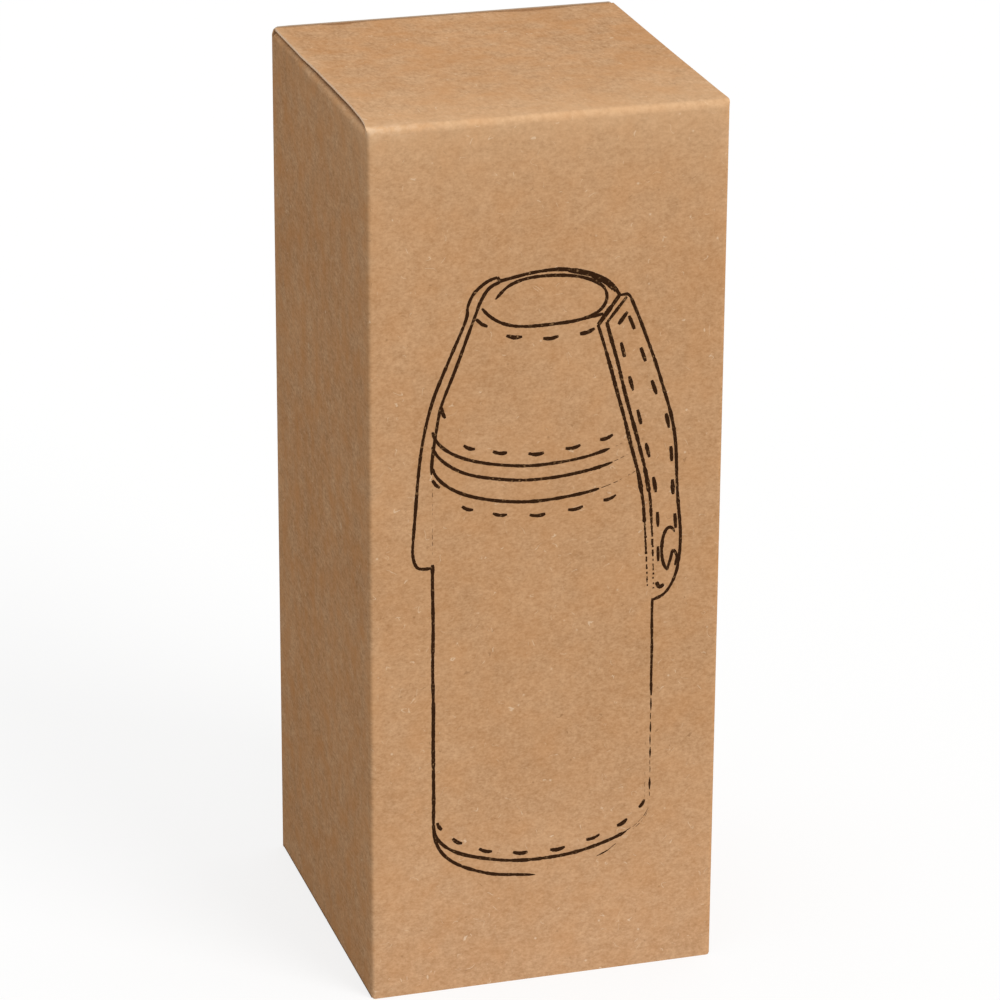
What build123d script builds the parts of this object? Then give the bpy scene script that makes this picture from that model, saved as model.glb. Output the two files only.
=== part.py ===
from build123d import *
import math
import os

os.makedirs("parts", exist_ok=True)

# Carton sizes, millimetres
board = 1.0
side_room = 9.0
front_room = 10.0
headroom = 34.0
lid_side_gap = 0.8
tuck_clearance = 1.5
tuck_depth = 13.0
tuck_side_gap = 2.0
dust_tip_gap = 10.0
dust_side_gap = 1.4
flap_gap = 0.5
glue_width = 15.0
glue_end_gap = 19.0

# Bottle sizes, millimetres
body_radius = 35.0
leather = 1.8
steel = 0.8
vacuum_gap = 2.2
base_height = 6.0
base_floor = 2.4
pad_thickness = 1.6
pad_stand = 0.6
pad_radius = 31.0
pad_width = 8.0
sleeve_length = 129.0
collar_height = 7.5
cup_band_height = 5.0
wrap_height = 41.0
rim_height = 1.5
cup_top_radius = 23.6
cup_rim_width = 3.6
cup_recess = 4.0
cup_mouth_gap = 0.5
spigot_height = 3.5
shoulder_rise = 7.0
neck_radius = 20.2
neck_height = 11.0
corner_round = 3.0
edge_round = 0.5

# Stopper sizes, millimetres
neck_fit = 0.1
plug_depth = 13.0
flange_radius = 22.0
flange_thickness = 3.0
cap_height = 6.0
cap_wall = 1.6
gasket_thickness = 1.5
gasket_inner_radius = 12.0
button_radius = 10.2
button_height = 6.0
button_travel = 2.5
button_fit = 0.1
spring_radius = 5.0
spring_wire = 0.8
spring_turns = 6
chamber_radius = 6.6
chamber_depth = 11.0
valve_chamber_depth = 3.0
stem_radius = 2.0
stem_foot_radius = 4.0
stem_foot_height = 1.0
seal_radius = 8.5
seal_thickness = 2.0
pour_slot_width = 6.0
grip_count = 24
grip_radius = 0.9

# Tab sizes, millimetres
tab_width = 13.5
tab_thickness = 3.0
tab_stand = 0.1
tab_bend_gap = 5.4
tab_low_gap = 7.6
tab_bend_drop = 49.5
tab_height = 96.0
tab_turn = -45.0
half_turn = 180.0
snap_radius = 6.25
snap_height = 1.2
snap_rise = 18.0
socket_radius = 4.6
socket_height = 0.5
stud_radius = 5.5
stud_gap = 0.4

# Levels and radii that follow from the sizes above
stand_level = 2 * board
base_top = stand_level + base_height
sleeve_top = base_top + sleeve_length
collar_top = sleeve_top + collar_height
band_top = collar_top + cup_band_height
wrap_top = band_top + wrap_height
bottle_top = wrap_top + rim_height
carton_width = 2 * (body_radius + side_room + board)
carton_depth = 2 * (body_radius + front_room + board)
carton_height = bottle_top + headroom + 2 * board
half_width = carton_width / 2
half_depth = carton_depth / 2
lid_rear = half_depth - board - tuck_clearance
dust_length = half_width - dust_tip_gap / 2
shell_radius = body_radius - leather
liner_radius = shell_radius - steel - vacuum_gap
cup_inner_radius = shell_radius - steel
spigot_radius = cup_inner_radius - cup_mouth_gap
wrap_slope = (body_radius - cup_top_radius) / wrap_height
neck_bore = neck_radius - steel
shoulder_start = collar_top + spigot_height
shoulder_end = shoulder_start + shoulder_rise
neck_top = shoulder_end + neck_height
plug_radius = neck_bore - neck_fit
plug_bottom = neck_top - plug_depth
flange_top = neck_top + flange_thickness
cap_top = flange_top + cap_height
button_bottom = flange_top + button_travel
button_top = button_bottom + button_height


def save(name, shape):
    shape.label = name
    export_step(shape, "parts/" + name + ".step")


def block(x_span, y_span, z_span):
    size = [high - low for low, high in (x_span, y_span, z_span)]
    middle = [(high + low) / 2 for low, high in (x_span, y_span, z_span)]
    return Pos(*middle) * Box(*size)


def disc(radius, low, high):
    return Pos(0, 0, (low + high) / 2) * Cylinder(radius, high - low)


def ring(outer, inner, low, high):
    return disc(outer, low, high) - disc(inner, low, high)


def turned(points):
    outline = Polyline(*[(r, 0, z) for r, z in points], close=True)
    return revolve(make_face(outline), Axis.Z)


def plate(points, low, high):
    outline = Polyline(*[(x, y, low) for x, y in points], close=True)
    return extrude(make_face(outline), high - low, dir=(0, 0, 1))


# Carton walls
def front_panel():
    span = (-half_depth, -half_depth + board)
    return block((-half_width, half_width), span, (board, carton_height - board))


def back_panel():
    span = (half_depth - board, half_depth)
    return block((-half_width, half_width), span, (board, carton_height - board / 2))


def side_panel(side):
    edges = sorted((side * half_width, side * (half_width - board)))
    reach = half_depth - board
    return block(edges, (-reach, reach), (board, carton_height - 2 * board))


def glue_flap():
    left = -half_width + board
    span = (half_depth - 2 * board, half_depth - board)
    low = stand_level + board
    return block((left, left + glue_width), span, (low, carton_height - glue_end_gap))


# Glued bottom
def bottom_outer_flap(side):
    edges = sorted((side * half_depth, side * flap_gap / 2))
    return block((-half_width, half_width), edges, (0, board))


def bottom_inner_flap(side):
    inner_depth = half_depth - board
    reach = inner_depth - flap_gap
    outer = side * (half_width - board)
    middle = side * flap_gap
    taper = (half_width - board) * 0.25
    points = [
        (outer, -inner_depth + flap_gap / 2),
        (middle, -reach + taper),
        (middle, reach - taper),
        (outer, inner_depth - flap_gap / 2),
    ]
    return plate(points, board, 2 * board)


# Top closure
def lid_panel():
    reach = half_width - lid_side_gap
    return block((-reach, reach), (-half_depth, lid_rear), (carton_height - board, carton_height))


def tuck_flap():
    reach = half_width - board - tuck_side_gap
    top = carton_height - board
    bottom = top - tuck_depth
    corner = tuck_depth * 0.6
    base = Plane(origin=(0, lid_rear, 0), x_dir=(1, 0, 0), z_dir=(0, -1, 0))
    points = [
        (-reach, top),
        (-reach, bottom + corner),
        (-reach + corner * 0.3, bottom + corner * 0.3),
        (-reach + corner, bottom),
        (reach - corner, bottom),
        (reach - corner * 0.3, bottom + corner * 0.3),
        (reach, bottom + corner),
        (reach, top),
    ]
    with BuildSketch(base) as sketch:
        with BuildLine():
            Polyline(*points, close=True)
        make_face()
    return extrude(sketch.sketch, board)


def dust_flap(side):
    root = side * half_width
    tip = side * (half_width - dust_length)
    front = -half_depth + board
    rear = lid_rear - board - flap_gap
    mitre = dust_length
    lead = dust_side_gap
    slant = dust_length * 0.16
    points = [
        (root, front + lead),
        (tip, front + lead + mitre),
        (tip, rear - slant - slant),
        (tip + side * slant, rear - slant),
        (root, rear),
    ]
    return plate(points, carton_height - 2 * board, carton_height - board)


# Bottle walls
def outer_shell():
    floor = stand_level + base_floor
    outer = [
        (0, floor),
        (shell_radius - corner_round, floor),
        (shell_radius, floor + corner_round),
        (shell_radius, collar_top),
        (spigot_radius, collar_top),
        (spigot_radius, shoulder_start),
        (neck_radius + steel, shoulder_end),
        (neck_radius + steel, neck_top - steel),
        (0, neck_top - steel),
    ]
    inner = [
        (0, floor + steel),
        (shell_radius - corner_round, floor + steel),
        (shell_radius - steel, floor + corner_round),
        (shell_radius - steel, collar_top - steel),
        (spigot_radius - steel, collar_top - steel),
        (spigot_radius - steel, shoulder_start - steel / 2),
        (neck_radius, shoulder_end - steel),
        (neck_radius, neck_top),
        (0, neck_top),
    ]
    return turned(outer) - turned(inner)


def inner_liner():
    floor = stand_level + base_floor + steel + vacuum_gap
    knee = collar_top - 2 * steel - vacuum_gap / 2
    outer = [
        (0, floor),
        (liner_radius - corner_round, floor),
        (liner_radius, floor + corner_round),
        (liner_radius, knee),
        (neck_radius, knee + shoulder_rise),
        (neck_radius, neck_top - steel),
        (neck_radius + steel, neck_top - steel),
        (neck_radius + steel, neck_top),
        (0, neck_top),
    ]
    inner = [
        (0, floor + steel),
        (liner_radius - corner_round, floor + steel),
        (liner_radius - steel, floor + corner_round),
        (liner_radius - steel, knee - steel / 2),
        (neck_bore, knee + shoulder_rise - steel),
        (neck_bore, neck_top + steel),
        (0, neck_top + steel),
    ]
    return turned(outer) - turned(inner)


def base_cap():
    low = stand_level + pad_stand
    floor = stand_level + base_floor
    body = disc(body_radius, low, base_top)
    body = fillet(body.edges().group_by(Axis.Z)[0], edge_round)
    pocket = [
        (0, floor),
        (shell_radius - corner_round, floor),
        (shell_radius, floor + corner_round),
        (shell_radius, base_top + base_height),
        (0, base_top + base_height),
    ]
    groove = ring(pad_radius, pad_radius - pad_width, stand_level, stand_level + pad_thickness)
    return body - turned(pocket) - groove


def base_pad():
    low = stand_level
    return ring(pad_radius, pad_radius - pad_width, low, low + pad_thickness)


def body_sleeve():
    return ring(body_radius, shell_radius, base_top, sleeve_top)


def collar_band():
    body = ring(body_radius, shell_radius, sleeve_top, collar_top)
    rims = body.edges().filter_by(GeomType.CIRCLE)
    outer = [edge for edge in rims if edge.radius > shell_radius + leather / 2]
    return fillet(outer, edge_round)


# Drinking cup that closes the bottle
def cup_shell():
    narrow = cup_top_radius - leather
    outer = [
        (0, collar_top),
        (shell_radius, collar_top),
        (shell_radius, band_top),
        (narrow, wrap_top),
        (0, wrap_top),
    ]
    ceiling = bottle_top - cup_recess - steel
    ceiling_radius = narrow + wrap_slope * (wrap_top - ceiling) - steel
    inner = [
        (0, collar_top),
        (cup_inner_radius, collar_top),
        (cup_inner_radius, band_top - steel / 2),
        (ceiling_radius, ceiling),
        (0, ceiling),
    ]
    dish = disc(cup_top_radius - cup_rim_width, bottle_top - cup_recess, wrap_top)
    return turned(outer) - turned(inner) - dish


def cup_rim():
    low = wrap_top
    inner = cup_top_radius - cup_rim_width
    body = ring(cup_top_radius, inner, low, bottle_top)
    rims = body.edges().group_by(Axis.Z)[-1]
    return fillet(rims, edge_round)


def cup_band():
    body = ring(body_radius, shell_radius, collar_top, band_top)
    rims = body.edges().filter_by(GeomType.CIRCLE)
    outer = [edge for edge in rims if edge.radius > shell_radius + leather / 2]
    return fillet(outer, edge_round)


def cup_wrap():
    points = [
        (shell_radius, band_top),
        (body_radius, band_top),
        (cup_top_radius, wrap_top),
        (cup_top_radius - leather, wrap_top),
    ]
    return turned(points)


# Tabs with their snaps
def tab_outer_points():
    top_radius = cup_top_radius + tab_stand + tab_thickness
    bend_radius = body_radius + tab_bend_gap + tab_thickness
    low_radius = body_radius + tab_low_gap + tab_thickness
    bend_level = bottle_top - tab_bend_drop
    low_level = bottle_top - tab_height
    return [(top_radius, bottle_top), (bend_radius, bend_level), (low_radius, low_level)]


def tab_radius_at(level):
    top, bend, low = tab_outer_points()
    share = (bend[1] - level) / (bend[1] - low[1])
    return bend[0] + share * (low[0] - bend[0])


def tab_strap(turn):
    top, bend, low = tab_outer_points()
    steep = math.hypot(bend[0] - top[0], bend[1] - top[1])
    span = tab_thickness * steep / (top[1] - bend[1])
    inner_top = (top[0] - span, top[1])
    inner_bend = (bend[0] - tab_thickness, bend[1] - tab_thickness * 0.3)
    inner_low = (low[0] - tab_thickness, low[1])
    outline = [top, bend, low, inner_low, inner_bend, inner_top]
    face = make_face(Polyline(*[(r, 0, z) for r, z in outline], close=True))
    strap = extrude(face, tab_width / 2, both=True, dir=(0, 1, 0))
    end = tab_width / 2
    reach = 2 * body_radius
    end_round = Pos(body_radius, 0, low[1] + end) * Rot(0, 90, 0) * Cylinder(end, reach)
    upper = block((0, reach), (-end, end), (low[1] + end, bottle_top))
    return Rot(0, 0, turn) * (strap & (end_round + upper))


def snap_level():
    return bottle_top - tab_height + snap_rise


def radial_disc(radius, near, far, level, turn):
    body = Pos((near + far) / 2, 0, level) * Rot(0, 90, 0) * Cylinder(radius, far - near)
    return Rot(0, 0, turn) * body


def snap_cap(turn):
    level = snap_level()
    face = tab_radius_at(level + snap_radius)
    body = radial_disc(snap_radius, face, face + snap_height + snap_height / 2, level, 0)
    rims = body.edges().filter_by(GeomType.CIRCLE).sort_by(Axis.X)
    body = fillet(rims[-1:], snap_height * 0.8)
    return Rot(0, 0, turn) * (body - tab_strap(0))


def snap_socket(turn):
    level = snap_level()
    face = tab_radius_at(level + snap_radius) - tab_thickness
    body = radial_disc(socket_radius, face - socket_height, face + socket_height, level, 0)
    return Rot(0, 0, turn) * (body - tab_strap(0))


def snap_stud(turn):
    level = snap_level()
    face = tab_radius_at(level + snap_radius) - tab_thickness - socket_height
    near = shell_radius
    body = radial_disc(stud_radius, near, face - stud_gap, level, 0)
    body = body - disc(body_radius, level - body_radius, level + body_radius)
    rims = body.edges().filter_by(GeomType.CIRCLE).sort_by(Axis.X)
    return Rot(0, 0, turn) * fillet(rims[-1:], edge_round)


# Screw stopper with its pour valve
def stopper_gasket():
    return ring(plug_radius, gasket_inner_radius, plug_bottom - gasket_thickness, plug_bottom)


def stopper_body():
    body = disc(plug_radius, plug_bottom, neck_top) + disc(flange_radius, neck_top, flange_top)
    body = body - disc(chamber_radius, flange_top - chamber_depth, flange_top)
    body = body - disc(chamber_radius, plug_bottom, plug_bottom + valve_chamber_depth)
    body = body - disc(stem_radius + button_fit, plug_bottom, flange_top)
    slot = pour_slot_width / 2
    port = (plug_bottom + valve_chamber_depth / 3, plug_bottom + valve_chamber_depth)
    out = plug_radius * 0.86
    passage = block((0, plug_radius), (-slot, slot), port)
    channel = block((out, plug_radius * 1.2), (-slot, slot), (port[0], flange_top - flange_thickness / 3))
    return body - (passage + channel - disc(stem_radius + button_fit, *port))


def stopper_top_cap():
    body = disc(flange_radius, flange_top, cap_top)
    body = fillet(body.edges().group_by(Axis.Z)[-1], cap_wall * 0.7)
    inside = disc(flange_radius - cap_wall, flange_top, cap_top - cap_wall)
    bore = disc(button_radius + button_fit, flange_top, cap_top)
    collar = ring(button_radius + button_fit + cap_wall, button_radius + button_fit,
                  flange_top + button_travel, cap_top - cap_wall)
    body = body - inside - bore + collar
    for step in range(grip_count):
        turn = Rot(0, 0, 360 * step / grip_count)
        notch = turn * Pos(flange_radius + grip_radius / 2, 0, 0)
        body = body - notch * disc(grip_radius, flange_top, cap_top)
    return body


def pour_button():
    body = disc(button_radius, button_bottom, button_top)
    body = fillet(body.edges().group_by(Axis.Z)[-1], edge_round)
    dish = Pos(0, 0, button_top + 3 * button_radius - edge_round) * Sphere(3 * button_radius)
    socket = disc(stem_radius, button_bottom, button_bottom + button_height / 3)
    return body - dish - socket


def valve_stem():
    low = plug_bottom - seal_thickness
    shaft = disc(stem_radius, low, button_bottom + button_height / 3)
    return shaft + disc(stem_foot_radius, low - stem_foot_height, low)


def valve_seal():
    return ring(seal_radius, stem_radius, plug_bottom - seal_thickness, plug_bottom)


def button_spring():
    low = flange_top - chamber_depth + spring_wire / 2
    high = button_bottom - spring_wire / 2
    path = Pos(0, 0, low) * Helix((high - low) / spring_turns, high - low, spring_radius)
    section = Plane(path @ 0, z_dir=path % 0) * Circle(spring_wire / 2)
    return sweep(section, path)


save("front_panel", front_panel())
save("back_panel", back_panel())
save("left_panel", side_panel(-1))
save("right_panel", side_panel(1))
save("glue_flap", glue_flap())
save("bottom_front_flap", bottom_outer_flap(-1))
save("bottom_back_flap", bottom_outer_flap(1))
save("bottom_left_flap", bottom_inner_flap(-1))
save("bottom_right_flap", bottom_inner_flap(1))
save("lid_panel", lid_panel())
save("tuck_flap", tuck_flap())
save("dust_flap_left", dust_flap(-1))
save("dust_flap_right", dust_flap(1))
save("outer_shell", outer_shell())
save("inner_liner", inner_liner())
save("base_cap", base_cap())
save("base_pad", base_pad())
save("body_sleeve", body_sleeve())
save("collar_band", collar_band())
save("cup_shell", cup_shell())
save("cup_rim", cup_rim())
save("cup_band", cup_band())
save("cup_wrap", cup_wrap())
for name, turn in (("right", tab_turn), ("left", tab_turn + half_turn)):
    save("tab_" + name, tab_strap(turn))
    save("snap_cap_" + name, snap_cap(turn))
    save("snap_socket_" + name, snap_socket(turn))
    save("snap_stud_" + name, snap_stud(turn))
save("stopper_gasket", stopper_gasket())
save("stopper_body", stopper_body())
save("stopper_top_cap", stopper_top_cap())
save("pour_button", pour_button())
save("valve_stem", valve_stem())
save("valve_seal", valve_seal())
save("button_spring", button_spring())
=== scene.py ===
import math
import random

import bmesh
import bpy
from mathutils import Matrix, Vector, noise


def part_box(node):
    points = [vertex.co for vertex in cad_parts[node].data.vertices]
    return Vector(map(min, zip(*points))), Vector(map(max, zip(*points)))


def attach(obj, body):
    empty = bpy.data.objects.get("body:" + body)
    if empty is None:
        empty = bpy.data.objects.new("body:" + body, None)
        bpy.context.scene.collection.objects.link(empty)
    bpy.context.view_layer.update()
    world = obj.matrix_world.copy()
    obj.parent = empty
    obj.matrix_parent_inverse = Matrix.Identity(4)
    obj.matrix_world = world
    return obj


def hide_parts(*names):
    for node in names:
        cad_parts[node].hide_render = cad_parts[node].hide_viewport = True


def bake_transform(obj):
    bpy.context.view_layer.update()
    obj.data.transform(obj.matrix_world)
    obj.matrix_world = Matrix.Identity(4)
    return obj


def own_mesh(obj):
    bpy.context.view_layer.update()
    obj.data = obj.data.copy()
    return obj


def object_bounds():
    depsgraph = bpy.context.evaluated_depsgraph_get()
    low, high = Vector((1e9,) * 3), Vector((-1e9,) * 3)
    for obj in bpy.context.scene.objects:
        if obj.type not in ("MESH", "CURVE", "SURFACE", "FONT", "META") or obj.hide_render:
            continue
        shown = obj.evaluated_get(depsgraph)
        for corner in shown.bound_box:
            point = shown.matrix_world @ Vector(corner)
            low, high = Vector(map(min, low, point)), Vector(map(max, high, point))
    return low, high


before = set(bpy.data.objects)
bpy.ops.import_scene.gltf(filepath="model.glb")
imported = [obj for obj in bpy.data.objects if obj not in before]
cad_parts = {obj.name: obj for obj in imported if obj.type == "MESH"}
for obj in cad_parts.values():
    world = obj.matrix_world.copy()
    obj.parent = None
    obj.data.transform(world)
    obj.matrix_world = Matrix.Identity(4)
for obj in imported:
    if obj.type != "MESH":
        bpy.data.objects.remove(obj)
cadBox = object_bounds()
mm = 0.001
bpy.context.scene.view_settings.view_transform = "Standard"


# Colours, nodes and finished pieces

graph = {}  # the material and node tree that are being built, and the coordinates of its patterns


def hexLinear(text):
    # sRGB hex to the linear colour that the shaders work in
    shares = [int(text[i:i + 2], 16) / 255 for i in (1, 3, 5)]
    return [s / 12.92 if s <= 0.04045 else ((s + 0.055) / 1.055) ** 2.4 for s in shares] + [1]


def addNode(kind, settings=None, links=None):
    # settings are attributes or socket values; a node given as a link stands for its first output
    node = graph["tree"].nodes.new("ShaderNode" + kind)
    for key, value in (settings or {}).items():
        if isinstance(key, str) and hasattr(node, key):
            setattr(node, key, value)
        else:
            node.inputs[key].default_value = value
    for key, source in (links or {}).items():
        graph["tree"].links.new(getattr(source, "outputs", [source])[0], node.inputs[key])
    return node


def startTree(owner):
    # empties the node tree of a material or world for the nodes to come
    owner.use_nodes = True
    graph["tree"] = owner.node_tree
    graph["tree"].nodes.clear()
    return owner


def startMaterial(name):
    graph["material"] = startTree(bpy.data.materials.new(name))
    graph["at"] = addNode("TexCoord").outputs["Object"]


def endMaterial(colour, height, relief, surface, roughness=None):
    # relief is the bump's strength and its depth in mm; surface holds the shader's constants
    bump = addNode("Bump", {"Strength": relief[0], "Distance": relief[1] * mm}, {"Height": height})
    links = {"Base Color": colour, "Normal": bump}
    if roughness:
        links["Roughness"] = roughness
    addNode("OutputMaterial", {}, {"Surface": addNode("BsdfPrincipled", surface, links)})
    return graph["material"]


def perMetre(size):
    # texture scale of a pattern whose cells are this many millimetres across
    return 1000 / size


def mixColours(factor, first, second):
    # first and second are hex colours or sockets
    settings, links = {"data_type": "RGBA"}, {0: factor}
    for slot, value in ((6, first), (7, second)):
        if isinstance(value, str):
            settings[slot] = hexLinear(value)
        else:
            links[slot] = value
    return addNode("Mix", settings, links).outputs[2]


def noiseMask(size, low, high, detail=2, shift=0, stretch=(1, 1, 1)):
    # 0 to 1 mask from a noise whose cells are size millimetres across
    place = {"Scale": stretch, "Location": (shift, shift * 0.7, shift * 1.3)}
    moved = addNode("Mapping", place, {"Vector": graph["at"]})
    pattern = addNode("TexNoise", {"Scale": perMetre(size), "Detail": detail}, {"Vector": moved})
    return addNode("MapRange", {"From Min": low, "From Max": high}, {"Value": pattern})


def calc(operation, *values):
    settings, links = {"operation": operation}, {}
    for slot, value in enumerate(values):
        (settings if isinstance(value, (int, float)) else links)[slot] = value
    return addNode("Math", settings, links)


def product(*factors):
    result = factors[0]
    for factor in factors[1:]:
        result = calc("MULTIPLY", result, factor)
    return result


def weighted(*parts, start=0):
    # adds masks up, each times its share
    for mask, share in parts:
        start = calc("MULTIPLY_ADD", mask, share, start)
    return start


def addObject(name, data):
    item = bpy.data.objects.new(name, data)
    bpy.context.scene.collection.objects.link(item)
    return item


def addMesh(name, bm, material):
    mesh = bpy.data.meshes.new(name)
    bm.to_mesh(mesh)
    bm.free()
    mesh.materials.append(material)
    return addObject(name, mesh)


def givePiece(name, bm, material, body=None, replaced=(), sharp=35):
    # turns a bmesh into a finished piece that stays at the origin
    bmesh.ops.recalc_face_normals(bm, faces=bm.faces[:])
    for face in bm.faces:
        face.smooth = True
    for edge in bm.edges:
        if len(edge.link_faces) == 2:
            edge.smooth = edge.calc_face_angle(0) < math.radians(sharp)
    piece = addMesh(name, bm, material)
    if body:
        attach(piece, body)
    if replaced:
        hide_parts(*replaced)
    return piece


def cutAcross(bm, place, normal, clear=False):
    bmesh.ops.bisect_plane(bm, geom=bm.verts[:] + bm.edges[:] + bm.faces[:], plane_co=place, plane_no=normal,
                           clear_outer=clear)


def thicken(bm, depth, axis=2):
    # turns a sheet's faces to the plus side of an axis and gives it its thickness behind them
    bmesh.ops.recalc_face_normals(bm, faces=bm.faces[:])
    if sum(face.normal[axis] for face in bm.faces) < 0:
        bmesh.ops.reverse_faces(bm, faces=bm.faces[:])
    bmesh.ops.solidify(bm, geom=bm.faces[:], thickness=depth)


def moveRaised(bm, raised, step):
    # moves what an extrusion has just made
    fresh = [item for item in raised["geom"] if isinstance(item, bmesh.types.BMVert)]
    bmesh.ops.translate(bm, verts=fresh, vec=step)


def roundOff(bm, geom, radius, segments, affect="VERTICES"):
    bmesh.ops.bevel(bm, geom=geom, offset=radius * mm, offset_type="OFFSET", segments=segments,
                    profile=0.5, affect=affect, material=-1)


def fillEnds(bm):
    bmesh.ops.holes_fill(bm, edges=[edge for edge in bm.edges if edge.is_boundary])


def smoothShare(value):
    value = min(1, max(0, value))
    return value * value * (3 - 2 * value)


def alongPoints(points, share):
    # value between the listed (share, value) points
    for (a, low), (b, high) in zip(points, points[1:]):
        if share <= b:
            return low + (high - low) * smoothShare((share - a) / (b - a))
    return points[-1][1]


def roundInset(radius, left):
    # how far a rounded corner stands back at this distance from its end
    return radius - math.sqrt(max(0, radius ** 2 - max(0, radius - left) ** 2))


# Camera, light and floor

cameraView = {
    "place": (-309.17, -1033.89, 539.52),  # mm
    "azimuth": -16.741,
    "elevation": 21.579,
    "roll": -0.316,
    "lens": 164.49,
    "sensor": 36,
    "sight": 50,  # metres
}

light = {
    "sky": 0.735,  # world strength on the object
    "sunTo": (0.30, -0.47, 0.32),  # towards the lamp: right, front and above
    "sun": 2.0,
    "sunSpread": 34,  # degrees, a large soft box
    "floorSize": 6.0,  # metres
    "floorBounce": "#958f88",  # what the object gets back from the floor
    "floorSeen": "#fbfbfa",
    "floorGlow": 0.78,
    "card": (0.012, -0.092, 0.008),  # metres; a small low lamp, the bright paper before the carton
    "cardAim": (0.012, -0.046, 0.006),
    "cardSize": (0.16, 0.016),
    "cardPower": 0.006,  # watts
    "cardTint": (0.9, 1.15, 1.7),  # cool, found by trial against the foot's colour in the photo
}


def makeCamera():
    turn, rise, roll = (math.radians(cameraView[key]) for key in ("azimuth", "elevation", "roll"))
    back = Vector((math.sin(turn) * math.cos(rise), -math.cos(turn) * math.cos(rise), math.sin(rise)))
    right = Vector((0, 0, 1)).cross(back).normalized()
    axes = Matrix.Rotation(roll, 3, "Z") @ Matrix((right, back.cross(right), back))
    data = bpy.data.cameras.new("camera")
    data.lens = cameraView["lens"]
    data.sensor_width = cameraView["sensor"]
    data.clip_end = cameraView["sight"]
    camera = addObject("camera", data)
    camera.matrix_world = Matrix.Translation(Vector(cameraView["place"]) * mm) @ axes.transposed().to_4x4()
    bpy.context.scene.camera = camera


def addLamp(name, kind, power, turn):
    lamp = bpy.data.lights.new(name, kind)
    lamp.energy = power
    holder = addObject(name, lamp)
    holder.rotation_mode = "QUATERNION"
    holder.rotation_quaternion = turn
    return holder


def byView(output, plain, seen):
    # plain for the object's light, seen for what the camera sees, also in a glint or through a clear part
    rays = addNode("LightPath").outputs
    looks = calc("MAXIMUM", rays["Is Glossy Ray"], rays["Is Transmission Ray"])
    looks = calc("MAXIMUM", rays["Is Camera Ray"], looks)
    addNode(output, {}, {"Surface": addNode("MixShader", {}, {0: looks, 1: plain, 2: seen})})


def makeStudio():
    bpy.context.scene.world = startTree(bpy.data.worlds.new("studioWorld"))
    white = (1, 1, 1, 1)
    lit, shown = (addNode("Background", {"Color": white, "Strength": power}) for power in (light["sky"], 1.0))
    byView("OutputWorld", lit, shown)

    sun = addLamp("softBox", "SUN", light["sun"], Vector(light["sunTo"]).to_track_quat("Z", "Y"))
    sun.data.angle = math.radians(light["sunSpread"])
    place, aim = Vector(light["card"]), Vector(light["cardAim"])
    card = addLamp("lowCard", "AREA", light["cardPower"], (aim - place).to_track_quat("-Z", "Y"))
    card.location = place
    card.data.shape = "RECTANGLE"
    card.data.size, card.data.size_y = light["cardSize"]
    card.data.color = light["cardTint"]
    card.visible_camera = card.visible_glossy = False

    # the floor is pale paper: the camera sees it near white, and it keeps the shadow
    material = startTree(bpy.data.materials.new("palePaperFloor"))
    bounce, paper = (addNode("BsdfDiffuse", {"Color": hexLinear(light[key])})
                     for key in ("floorBounce", "floorSeen"))
    glow = addNode("Emission", {"Color": white, "Strength": 1.0})
    pale = addNode("MixShader", {0: light["floorGlow"]}, {1: paper, 2: glow})
    byView("OutputMaterial", bounce, pale)
    bm = bmesh.new()
    bmesh.ops.create_grid(bm, x_segments=1, y_segments=1, size=light["floorSize"] / 2)
    floor = addMesh("floor", bm, material)

    # the low card lights the carton and not the floor, where its lit strip would end in a straight edge
    unlit = bpy.data.collections.new("unlitByCard")
    unlit.objects.link(floor)
    unlit.collection_objects[0].light_linking.link_state = "EXCLUDE"
    card.light_linking.receiver_collection = unlit


makeCamera()
makeStudio()
print("camera, light and floor ready")


# Carton materials

kraft = {
    "deep": "#a1764e",
    "pale": "#d4aa81",
    "warm": "#c08854",
    "fleck": "#8f6945",
    "fibre": "#e2c9aa",
    # cut: the raw edge's own colour; on the lid's side edges, below the painted highlight, it is also painted
    # shadow, the dark line under the lid
    "cut": "#8d6c4c",
    "cutHighlight": "#ffdfbe",  # painted highlight on the cut's upper part, where the lid's raw edge catches the light
    "cutHighlightBelow": 0.6,  # mm, how far down from the lid's face it reaches
    "cutTop": "#bb9670",
    # worn: the folds' paler stretched fibres, and painted highlight beside them
    "worn": "#e5bf95",
    "scuff": "#f1e0c8",
    "slit": "#4f3823",  # painted shade of the slit between the back wall and the lid
    "cloud": 24.0,  # mm across, slow drift of the pulp's tone
    "tint": 7.0,  # mm across, patches of warmer fibre
    # mm across, noise range, detail and shift: clumps of fibre, grain coarse enough to show, fine grain
    "clumps": ((2.6, 0.28, 0.72, 2, 0.11), (0.85, 0.25, 0.75, 2, 0.37), (0.42, 0.25, 0.75, 1, 0.19)),
    "lie": (0.78, 0.48, 1.1),  # the fibres lie along the sheet's run round the carton
    "fibreLoop": 5.0,  # mm, a fibre's bend
    "fibres": ((0.05, "fibre", 0.006, 0.68), (0.53, "fleck", 0.004, 0.70)),  # shift, colour, width, rarity
    "fleckCell": 3.4,  # mm between dark specks
    "specks": ((0.0, "fleck", 0.16, 0.45), (0.4, "fibre", 0.12, 0.5)),  # shift, colour, share, strength
    # worn folds, partly painted highlight: place in shares of the left, front and top faces' distances,
    # spread, reach in mm, strength
    "folds": (((0, 1, 1), (0, 0.45, 1), 4.2, 0.36), ((-3, 1, 1), (0.09, 0.45, 1), 14, 0.40),
              ((1, 0, 1), (1, 0, 1), 1.3, 0.5), ((1, 1, 0), (1, 1, 0), 0.8, 0.15),
              ((1, 1, 0), (4, 1, 0), 5, 0.06)),
    "relief": (0.6, 0.03),  # strength of the bump and its depth in mm
}
frontLow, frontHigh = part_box("front_panel")
backLow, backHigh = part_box("back_panel")
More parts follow.
